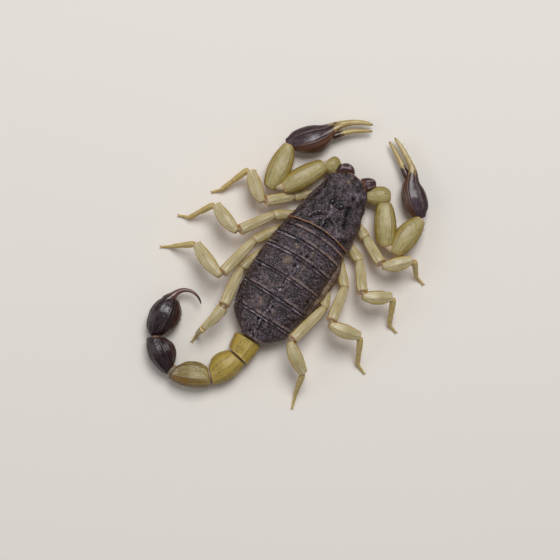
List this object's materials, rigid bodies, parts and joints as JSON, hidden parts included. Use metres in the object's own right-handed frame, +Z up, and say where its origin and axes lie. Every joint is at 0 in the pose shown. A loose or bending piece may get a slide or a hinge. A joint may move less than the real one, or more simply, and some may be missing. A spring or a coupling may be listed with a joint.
{
  "type": "desert scorpion model",
  "caption": "Life-size still model of a dark-backed, yellow-legged desert scorpion resting flat, pincers forward and tail curled beside it on the floor.",
  "frame": {"origin": "middle of the animal's bounding box, on the floor", "axes": "+Y from the head toward the tail, +X the animal's left side, +Z up"},
  "size_m": [0.0534, 0.0698, 0.0081],
  "materials": {
    "pale_shell": "olive-yellow shell of the legs, arms and first tail rings, satin",
    "amber_shell": "yellow-brown shell of the fourth tail ring and the fingers, satin",
    "dark_shell": "near-black granular back shell",
    "brown_shell": "glossy dark brown shell of the hands, jaws, last tail ring and telson",
    "joint_skin": "soft tan flank and joint skin",
    "eye_lens": "polished black eye"
  },
  "bodies": {
    "root": {"arm_left_femur": "pale_shell", "arm_left_hand": "brown_shell", "arm_left_movable_finger": "amber_shell", "arm_left_patella": "pale_shell", "arm_left_trochanter": "pale_shell", "arm_right_femur": "pale_shell", "arm_right_hand": "brown_shell", "arm_right_movable_finger": "amber_shell", "arm_right_patella": "pale_shell", "arm_right_trochanter": "pale_shell", "back_plate_1": "dark_shell", "back_plate_2": "dark_shell", "back_plate_3": "dark_shell", "back_plate_4": "dark_shell", "back_plate_5": "dark_shell", "back_plate_6": "dark_shell", "back_plate_7": "dark_shell", "belly": "joint_skin", "carapace": "dark_shell", "chelicera_left": "brown_shell", "chelicera_right": "brown_shell", "comb_left": "pale_shell", "comb_right": "pale_shell", "coxae": "pale_shell", "eye_left": "eye_lens", "eye_right": "eye_lens", "flanks": "joint_skin", "leg_left_1_femur": "pale_shell", "leg_left_1_patella": "pale_shell", "leg_left_1_tarsus": "pale_shell", "leg_left_2_femur": "pale_shell", "leg_left_2_patella": "pale_shell", "leg_left_2_tarsus": "pale_shell", "leg_left_3_femur": "pale_shell", "leg_left_3_patella": "pale_shell", "leg_left_3_tarsus": "pale_shell", "leg_left_4_femur": "pale_shell", "leg_left_4_patella": "pale_shell", "leg_left_4_tarsus": "pale_shell", "leg_right_1_femur": "pale_shell", "leg_right_1_patella": "pale_shell", "leg_right_1_tarsus": "pale_shell", "leg_right_2_femur": "pale_shell", "leg_right_2_patella": "pale_shell", "leg_right_2_tarsus": "pale_shell", "leg_right_3_femur": "pale_shell", "leg_right_3_patella": "pale_shell", "leg_right_3_tarsus": "pale_shell", "leg_right_4_femur": "pale_shell", "leg_right_4_patella": "pale_shell", "leg_right_4_tarsus": "pale_shell", "prosoma": "joint_skin", "tail_1": "pale_shell", "tail_2": "pale_shell", "tail_3": "pale_shell", "tail_4": "amber_shell", "tail_5": "brown_shell", "telson_sting": "brown_shell", "telson_vesicle": "brown_shell"}
  },
  "joints": []
}
